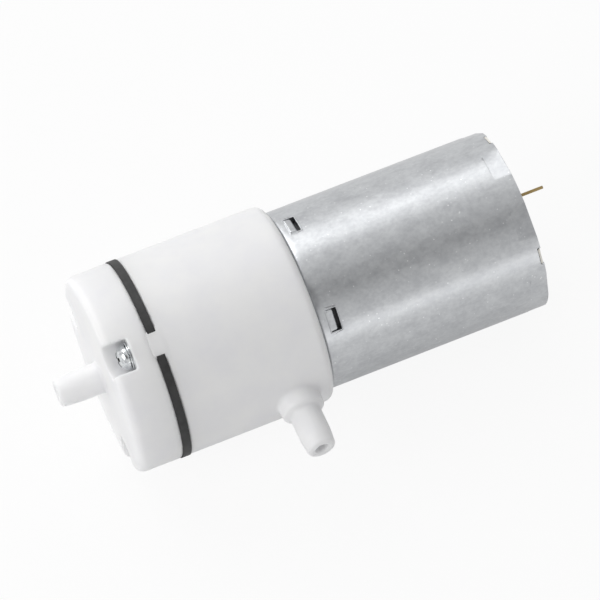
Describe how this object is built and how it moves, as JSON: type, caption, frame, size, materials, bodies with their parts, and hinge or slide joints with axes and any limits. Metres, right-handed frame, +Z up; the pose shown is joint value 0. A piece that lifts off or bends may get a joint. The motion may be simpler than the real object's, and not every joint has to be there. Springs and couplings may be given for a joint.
{
  "type": "air pump",
  "caption": "Miniature three-chamber diaphragm air pump: round plastic head with an axial outlet nozzle and a side inlet nozzle, screwed to a round DC motor.",
  "frame": {"origin": "on the shaft axis, in the plane where the motor can meets the pump housing", "axes": "+X along the shaft to the motor's terminals, -X out of the outlet nozzle, -Y out of the inlet nozzle, +Z up as the pump lies with its shaft level"},
  "size_m": [0.0678, 0.035, 0.0272],
  "materials": {
    "white_plastic": "slightly translucent moulded plastic, satin",
    "nylon": "natural nylon",
    "black_rubber": "matt",
    "clear_rubber": "silicone, matt",
    "can_steel": "zinc-plated drawn sheet, mottled",
    "screw_chrome": "bright zinc plating",
    "steel": "ground bar",
    "lamination_steel": "stacked sheet",
    "ferrite": "dark sintered ferrite",
    "carbon": "pressed graphite",
    "bronze": "sintered, matt",
    "brass": "thin strip, slightly tarnished",
    "copper": "enamelled wire or drawn bar",
    "dark_plastic": "moulded resin",
    "grey_acetal": "moulded acetal"
  },
  "bodies": {
    "pump": {"front_cover": "white_plastic", "pump_housing": "white_plastic", "valve_plate": "white_plastic", "cup_holder": "white_plastic", "outlet_valve": "clear_rubber", "inlet_valve_1": "clear_rubber", "inlet_valve_2": "clear_rubber", "inlet_valve_3": "clear_rubber", "diaphragm": "black_rubber", "cover_screws": "screw_chrome", "motor_screws": "screw_chrome", "motor_can": "can_steel", "front_bearing": "bronze", "rear_bearing": "bronze", "magnet_upper": "ferrite", "magnet_lower": "ferrite", "magnet_springs": "steel", "end_bell": "nylon", "terminal_1": "brass", "terminal_2": "brass", "brush_arm_1": "bronze", "brush_arm_2": "bronze", "carbon_brush_1": "carbon", "carbon_brush_2": "carbon"},
    "rotor": {"shaft": "steel", "armature_core": "lamination_steel", "core_insulators": "dark_plastic", "coil_1": "copper", "coil_2": "copper", "coil_3": "copper", "commutator_hub": "dark_plastic", "commutator_segments": "copper", "thrust_washers": "dark_plastic", "crank": "grey_acetal", "drive_pin": "steel"},
    "wobble": {"wobble_plate": "grey_acetal"}
  },
  "joints": [
    {"name": "rotor_spin", "type": "hinge", "parent": "pump", "child": "rotor", "pos_m": [0, 0, 0], "axis": [1, 0, 0], "continuous": true},
    {"name": "wobble_spin", "type": "hinge", "parent": "rotor", "child": "wobble", "pos_m": [-0.0145, 0, 0], "axis": [0.989, -0.1464, 0.0206], "continuous": true, "deforming": ["diaphragm"]}
  ],
  "couplings": [
    {"joint": "wobble_spin", "follows": "rotor_spin", "ratio": -1}
  ]
}
